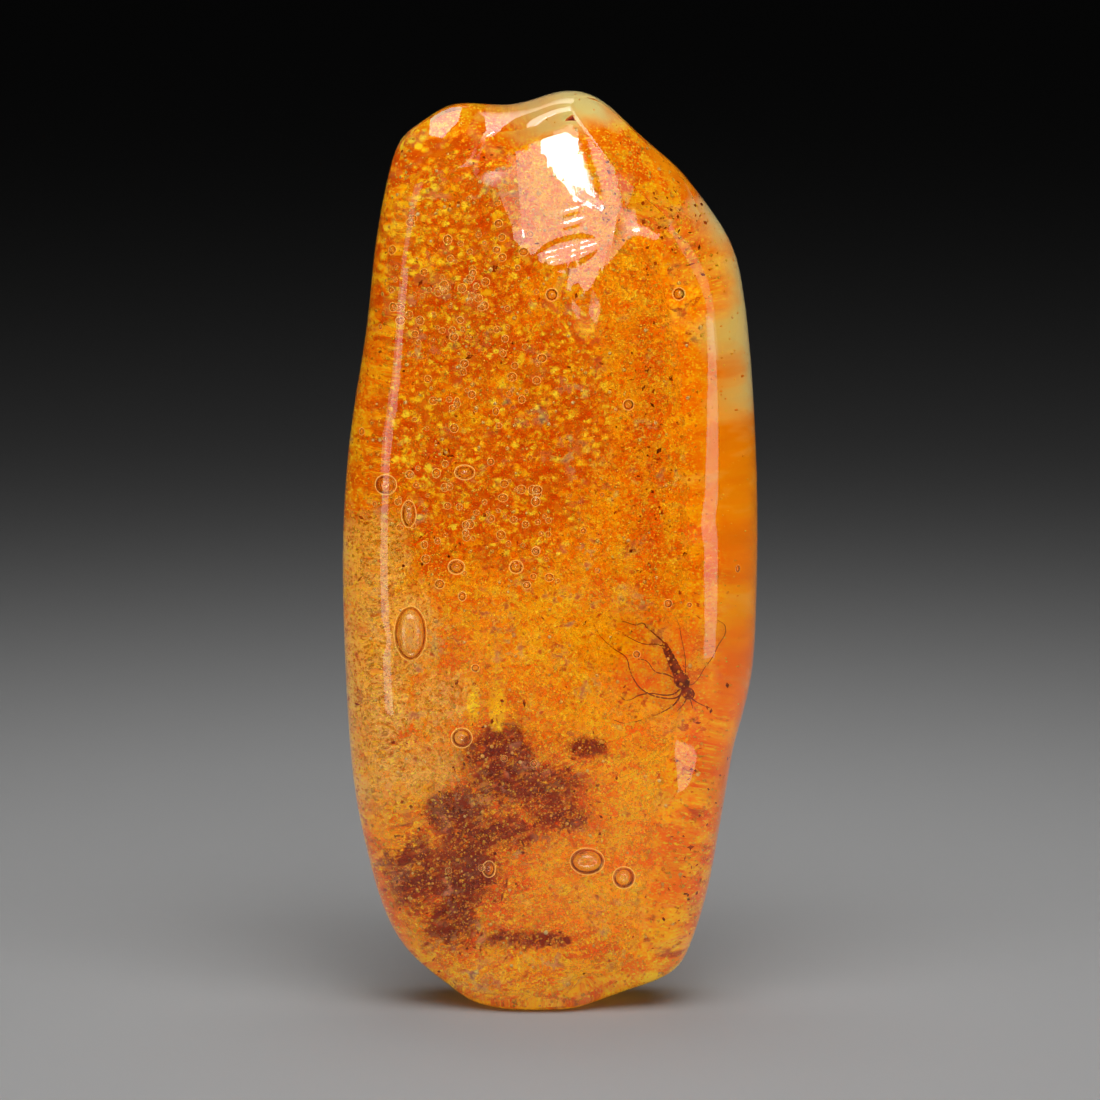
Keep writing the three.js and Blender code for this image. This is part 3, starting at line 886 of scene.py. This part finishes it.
bpy.ops.object.select_all(action="DESELECT")
bpy.ops.mesh.primitive_ico_sphere_add(subdivisions=2, radius=1)
ball = bpy.context.object
points = scattered(PINHEAD_COUNT, PINHEAD_DEPTHS, pinhead_chance)
smallest, largest = PINHEAD_RADII
radii = RANDOM.triangular(smallest, smallest, largest, len(points))
pinheads = many("pinheads", ball, points, radii)
pinheads.data.materials.append(gas_material("pinhead gas", (1.0, 0.62, 0.16), (1.0, 0.88, 0.50)))
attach(pinheads, "root")

# The dark flakes
# Crumbs of bark and soil that fell on the resin while it ran. They lie in drifts in the brown
# places, and a few are strewn through the rest.
FLAKE_COUNT = 2600
FLAKE_SIZE = 0.10 * MM
FLAKE_SIZES = (0.03 * MM, 0.3 * MM)
FLAKE_SPREAD = 0.45
FLAKE_FLATNESS = (1.2, 1.0, 0.5)
FLAKE_DEPTHS = (0.6 * MM, 6 * MM)
FLAKES_EVERYWHERE = 0.004
FLAKES_IN_BROWN = 0.5
FLAKES_IN_RED = 0.05
flake_brown, tree, shader = material_named("bark crumbs")
at = add(tree, "ShaderNodeTexCoord").outputs["Object"]
varied = between(tree, noise(tree, at, 0.6 * MM, 2), 0.4, 0.6)
bark = blended(tree, (0.20, 0.03, 0.004), (0.60, 0.12, 0.01), varied)
tree.links.new(bark, shader.inputs["Base Color"])
shader.inputs["Roughness"].default_value = 0.6
shader.inputs["Specular IOR Level"].default_value = 0.1


def flake_chance(x, y, z):
    """How likely a flake is kept at a place, with wavy bands for the drifts."""
    drifts = 0.5 + 0.5 * np.sin(4.2 * z - 1.3 * x + 1.9 * np.sin(0.9 * x + 0.7 * y) + np.sin(1.7 * z))
    in_brown = FLAKES_IN_BROWN * share_of(x, z, BROWN) * drifts ** 1.5
    in_red = FLAKES_IN_RED * share_of(x, z, RED)
    thick = FLAKES_EVERYWHERE + in_brown + in_red
    return thick * in_the_cloudy_part(x, z) * out_of_bubbles(x, y, z)


points = scattered(FLAKE_COUNT, FLAKE_DEPTHS, flake_chance)
sizes = RANDOM.lognormal(math.log(FLAKE_SIZE), FLAKE_SPREAD, (len(points), 3)).clip(*FLAKE_SIZES)
flakes = many("bark_crumbs", grain, points, sizes * FLAKE_FLATNESS, random_turns(len(points)))
flakes.data.materials.append(flake_brown)
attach(flakes, "root")

# The models of the grains and the pebble's plain copy aren't needed any more
for spent in (grain, ball, blank):
    only(spent)
    bpy.ops.object.delete()

# The insect
# A long-legged gnat, caught when the resin ran over it. Its dark skin has kept its form, with thin
# legs, a ringed abdomen and clear wings. All of it is one piece, seen through the clear amber.
VIEW_SHIFT = Vector((-0.15, 0, 0.75)) * MM
HEAD_AT = (8.0, 18.4)
TAIL_AT = (6.7, 21.35)

# Each limb: how far its middle stands back, and its route as x and z
LEGS = (
    (-0.3, ((7.8, 18.9), (7.4, 18.2), (6.6, 18.1), (5.44, 18.57), (5.02, 19.11), (4.72, 19.83),
            (4.54, 20.49), (4.0, 20.9), (3.35, 21.45), (2.94, 22.0), (2.7, 22.5))),
    (0.25, ((7.8, 18.8), (7.22, 17.78), (6.63, 17.3), (5.8, 16.88), (4.9, 16.58), (4.37, 16.52),
            (3.77, 16.76))),
    (0.3, ((7.8, 18.9), (7.05, 18.3), (5.8, 18.32), (5.26, 18.2), (4.54, 17.9), (4.19, 18.14))),
    (0.2, ((7.7, 19.3), (7.0, 21.0), (5.85, 22.18), (5.44, 22.54), (5.2, 22.42), (4.54, 22.6),
           (3.83, 22.78), (3.23, 23.2))),
    (-0.25, ((7.7, 19.3), (6.6, 21.2), (5.5, 21.33), (4.48, 21.8))),
    (-0.35, ((7.7, 19.0), (6.9, 19.5), (6.2, 19.7), (5.7, 20.3), (5.2, 20.4))),
)
FEELERS = (
    (-0.2, ((8.0, 18.3), (8.5, 17.9), (9.0, 17.6))),
    (-0.2, ((7.95, 18.3), (7.7, 17.8), (7.3, 17.3))),
    (0.0, ((8.05, 18.2), (8.15, 17.8), (8.2, 17.5))),
)
LEG_RADIUS = 0.042
FEELER_RADIUS = 0.03

# Each wing: how far it stands back, and its edge as x and z, which starts along its main vein
WINGS = (
    (0.2, ((8.0, 18.9), (8.3, 19.0), (8.9, 20.1), (9.25, 21.0), (9.6, 22.3), (9.3, 22.7), (8.7, 22.2),
           (8.3, 21.0))),
    (0.5, ((7.8, 19.0), (7.9, 20.2), (7.7, 21.6), (7.4, 22.8), (7.0, 23.2), (6.7, 22.6), (6.8, 21.2))),
)
WING_THICKNESS = 0.012 * MM
VEIN_POINTS = 6
VEIN_RADIUS = 0.02

# The head and the thorax: the ends as shares of the way from head to tail, and rings as shares of
# the way between those ends, each with its radius
HEAD_ENDS = (-0.1, 0.14)
HEAD_RINGS = ((0, 0.05), (0.08, 0.21), (0.3, 0.34), (0.55, 0.36), (0.8, 0.26), (1, 0.1))
THORAX_ENDS = (0.08, 0.42)
THORAX_RINGS = ((0, 0.1), (0.15, 0.27), (0.35, 0.42), (0.6, 0.45), (0.85, 0.32), (1, 0.14))
ABDOMEN_FROM = 0.22
ABDOMEN_RADIUS = 0.34
ABDOMEN_RINGS = 7
TAIL_BACK = 0.1
EYES = ((-0.16, -0.22), (0.16, -0.18))
EYE_RADIUS = 0.17 * MM


def in_plane(x, z, off=0.0):
    """A point of the insect, from the x and z it is seen at, which the resin's bent view shifts,
    and how far it stands behind its middle plane."""
    return Vector((x * MM, PARTING_Y + off * MM, z * MM)) + VIEW_SHIFT


def thread(name, bend, route, radius):
    """A thin limb that tapers along its route, and whose middle stands off by bend."""
    curve = bpy.data.curves.new(name, "CURVE")
    curve.dimensions = "3D"
    curve.bevel_depth = MM
    curve.bevel_resolution = 1
    curve.resolution_u = 5
    curve.use_fill_caps = True
    spline = curve.splines.new("BEZIER")
    spline.bezier_points.add(len(route) - 1)
    for step, (x, z) in enumerate(route):
        share = step / (len(route) - 1)
        point = spline.bezier_points[step]
        point.co = in_plane(x, z, bend * (1 - abs(2 * share - 1)))
        point.handle_left_type = point.handle_right_type = "AUTO"
        point.radius = radius * (1.25 - 0.7 * share)
    made = bpy.data.objects.new(name, curve)
    bpy.context.scene.collection.objects.link(made)
    only(made)
    bpy.ops.object.convert(target="MESH")
    return bpy.context.object


def swelling(name, start, end, profile, sides=16):
    """A closed round body from start to end, through rings at these shares with these radii."""
    way = end - start
    bpy.ops.object.select_all(action="DESELECT")
    bpy.ops.mesh.primitive_circle_add(
        vertices=sides, radius=profile[0][1] * MM, fill_type="NGON",
        location=start + way * profile[0][0], rotation=way.to_track_quat("Z", "Y").to_euler(),
    )
    made = bpy.context.object
    made.name = name
    bpy.ops.object.transform_apply()
    bpy.ops.object.mode_set(mode="EDIT")
    for (before, thin), (along, wide) in zip(profile, profile[1:]):
        bpy.ops.mesh.extrude_region_move(TRANSFORM_OT_translate={"value": way * (along - before)})
        bpy.ops.transform.resize(value=(wide / thin,) * 3, center_override=start + way * along)
    bpy.ops.mesh.select_all(action="SELECT")
    bpy.ops.mesh.normals_make_consistent(inside=False)
    bpy.ops.object.mode_set(mode="OBJECT")
    bpy.ops.object.shade_smooth()
    return made


def wing_plate(name, back, edge):
    """A thin plate with a smooth edge."""
    curve = bpy.data.curves.new(name, "CURVE")
    curve.dimensions = "3D"
    spline = curve.splines.new("BEZIER")
    spline.bezier_points.add(len(edge) - 1)
    spline.use_cyclic_u = True
    for point, (x, z) in zip(spline.bezier_points, edge):
        point.co = in_plane(x, z, back)
        point.handle_left_type = point.handle_right_type = "AUTO"
    curve.resolution_u = 5
    made = bpy.data.objects.new(name, curve)
    bpy.context.scene.collection.objects.link(made)
    only(made)
    bpy.ops.object.convert(target="MESH")
    bpy.ops.object.mode_set(mode="EDIT")
    bpy.ops.mesh.select_all(action="SELECT")
    bpy.ops.mesh.edge_face_add()
    bpy.ops.mesh.extrude_region_move(TRANSFORM_OT_translate={"value": (0, WING_THICKNESS, 0)})
    bpy.ops.mesh.select_all(action="SELECT")
    bpy.ops.mesh.normals_make_consistent(inside=False)
    bpy.ops.object.mode_set(mode="OBJECT")
    return bpy.context.object


chitin, tree, shader = material_named("chitin")
at = add(tree, "ShaderNodeTexCoord").outputs["Object"]
varied = between(tree, noise(tree, at, 0.35 * MM, 2), 0.38, 0.62)
skin = blended(tree, (0.15, 0.024, 0.005), (0.44, 0.09, 0.014), varied)
tree.links.new(skin, shader.inputs["Base Color"])
shader.inputs["Roughness"].default_value = 0.4
wing_film, tree, shader = material_named("wing film")
shader.inputs["Base Color"].default_value = (0.6, 0.22, 0.06, 1)
shader.inputs["Alpha"].default_value = 0.06
shader.inputs["Roughness"].default_value = 0.3

head = in_plane(*HEAD_AT)
tail = in_plane(*TAIL_AT, TAIL_BACK)
abdomen = []
for ring in range(ABDOMEN_RINGS):
    along = ABDOMEN_FROM + (1 - ABDOMEN_FROM) * ring / ABDOMEN_RINGS
    swell = ABDOMEN_RADIUS * (1 - 0.5 * along ** 2)
    abdomen += [(along, swell * 0.92), (along + 0.025, swell), (along + 0.085, swell * 0.98)]
abdomen += [(1.0, 0.11), (1.03, 0.04)]
body_parts = [
    swelling("head", *[head + (tail - head) * share for share in HEAD_ENDS], HEAD_RINGS),
    swelling("thorax", *[head + (tail - head) * share for share in THORAX_ENDS], THORAX_RINGS),
    swelling("abdomen", head, tail, abdomen),
]
for side, forward in EYES:
    middle = head + Vector((side, forward, -0.05)) * MM
    bpy.ops.object.select_all(action="DESELECT")
    bpy.ops.mesh.primitive_uv_sphere_add(segments=16, ring_count=10, radius=EYE_RADIUS, location=middle)
    bpy.ops.object.transform_apply()
    bpy.ops.object.shade_smooth()
    body_parts.append(bpy.context.object)
for number, (bend, route) in enumerate(LEGS):
    body_parts.append(thread(f"leg {number}", bend, route, LEG_RADIUS))
for number, (bend, route) in enumerate(FEELERS):
    body_parts.append(thread(f"feeler {number}", bend, route, FEELER_RADIUS))
for number, (back, edge) in enumerate(WINGS):
    body_parts.append(thread(f"wing vein {number}", 0, edge[:VEIN_POINTS], VEIN_RADIUS))
    for vertex in body_parts[-1].data.vertices:
        vertex.co.y += back * MM
for part in body_parts:
    part.data.materials.append(chitin)
for number, (back, edge) in enumerate(WINGS):
    plate = wing_plate(f"wing {number}", back, edge)
    plate.data.materials.append(wing_film)
    body_parts.append(plate)
only(body_parts[0])
for part in body_parts[1:]:
    part.select_set(True)
bpy.ops.object.join()
gnat = bpy.context.object
gnat.name = gnat.data.name = "gnat"
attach(gnat, "root")
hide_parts("insect")

# The floor
# A plain pale floor, wide enough to reach past every view.
bpy.ops.object.select_all(action="DESELECT")
bpy.ops.mesh.primitive_plane_add(size=4, location=(0, 1.2, 0))
floor = bpy.context.object
floor.name = "floor"
paint, tree, shader = material_named("pale floor")
shader.inputs["Base Color"].default_value = (0.25, 0.25, 0.25, 1)
shader.inputs["Roughness"].default_value = 0.8
floor.data.materials.append(paint)

# The studio
# Soft light from boxes close round the pebble, so that the floor falls off into the dark behind.
world = bpy.data.worlds.new("studio")
bpy.context.scene.world = world
world.use_nodes = True
world.node_tree.nodes["Background"].inputs["Color"].default_value = (0.004, 0.004, 0.004, 1)
LIT = Vector((0.0015, -0.006, 0.046))


def softbox(name, bearing, elevation, away, size, brightness, spread, aim=LIT):
    """A rectangle of soft light, placed by its bearing and elevation from the pebble's top, which
    faces its aim and keeps its light within its spread."""
    turn, rise = math.radians(bearing), math.radians(elevation)
    way = Vector((math.sin(turn) * math.cos(rise), -math.cos(turn) * math.cos(rise), math.sin(rise)))
    half = math.radians(spread / 2)
    light = bpy.data.lights.new(name, "AREA")
    light.shape = "RECTANGLE"
    light.size, light.size_y = size
    light.energy = brightness * math.pi * size[0] * size[1] * (1 - half / math.tan(half))
    light.spread = 2 * half
    lamp = bpy.data.objects.new(name, light)
    lamp.location = LIT + away * way
    lamp.rotation_euler = (lamp.location - Vector(aim)).to_track_quat("Z", "Y").to_euler()
    bpy.context.scene.collection.objects.link(lamp)


softbox("key", 4, 47, 0.20, (0.30, 0.146), 9.4, 80, (0, -0.016, 0))
softbox("bright middle", 7.6, 37, 0.172, (0.048, 0.011), 22.0, 150)
softbox("overhead", 180, 64, 0.16, (0.10, 0.10), 7.0, 80, (0, 0.065, 0))
softbox("right", 48, 12, 0.24, (0.09, 0.14), 1.0, 150)
softbox("left", -52, 12, 0.24, (0.08, 0.14), 1.2, 150)
softbox("low right", 44, -14, 0.094, (0.03, 0.044), 2.2, 150)
softbox("low left", -44, -14, 0.094, (0.03, 0.044), 2.2, 150)

# The camera
# It stands far off and a little above the pebble's middle, as the photograph's did. Its frame is
# as wide as the photograph, with pixels to a millimetre that follow from the insect's length.
CAMERA_ELEVATION = math.radians(8)
CAMERA_DISTANCE = 0.6
PHOTO_WIDTH = 1100
PIXELS_PER_MM = 16.79
FRAME_WIDTH = PHOTO_WIDTH / PIXELS_PER_MM * MM
SENSOR_WIDTH = 36
camera = bpy.data.objects.new("camera", bpy.data.cameras.new("camera"))
bpy.context.scene.collection.objects.link(camera)
bpy.context.scene.camera = camera
camera.data.sensor_width = SENSOR_WIDTH
camera.data.lens = SENSOR_WIDTH * CAMERA_DISTANCE / FRAME_WIDTH
AIM = Vector((0, 0, 27.2 * MM))
towards_camera = Vector((0, -math.cos(CAMERA_ELEVATION), math.sin(CAMERA_ELEVATION)))
camera.location = AIM + CAMERA_DISTANCE * towards_camera
camera.rotation_euler = (AIM - camera.location).to_track_quat("-Z", "Y").to_euler()

# Light is followed through as many surfaces as the clear amber and its bubbles need
scene = bpy.context.scene
scene.cycles.use_denoising = True
scene.cycles.adaptive_threshold = 0.08
scene.cycles.max_bounces = 9
scene.cycles.transmission_bounces = 7
scene.cycles.diffuse_bounces = 2
scene.cycles.transparent_max_bounces = 10
scene.cycles.sample_clamp_indirect = 10
scene.view_settings.view_transform = "Standard"
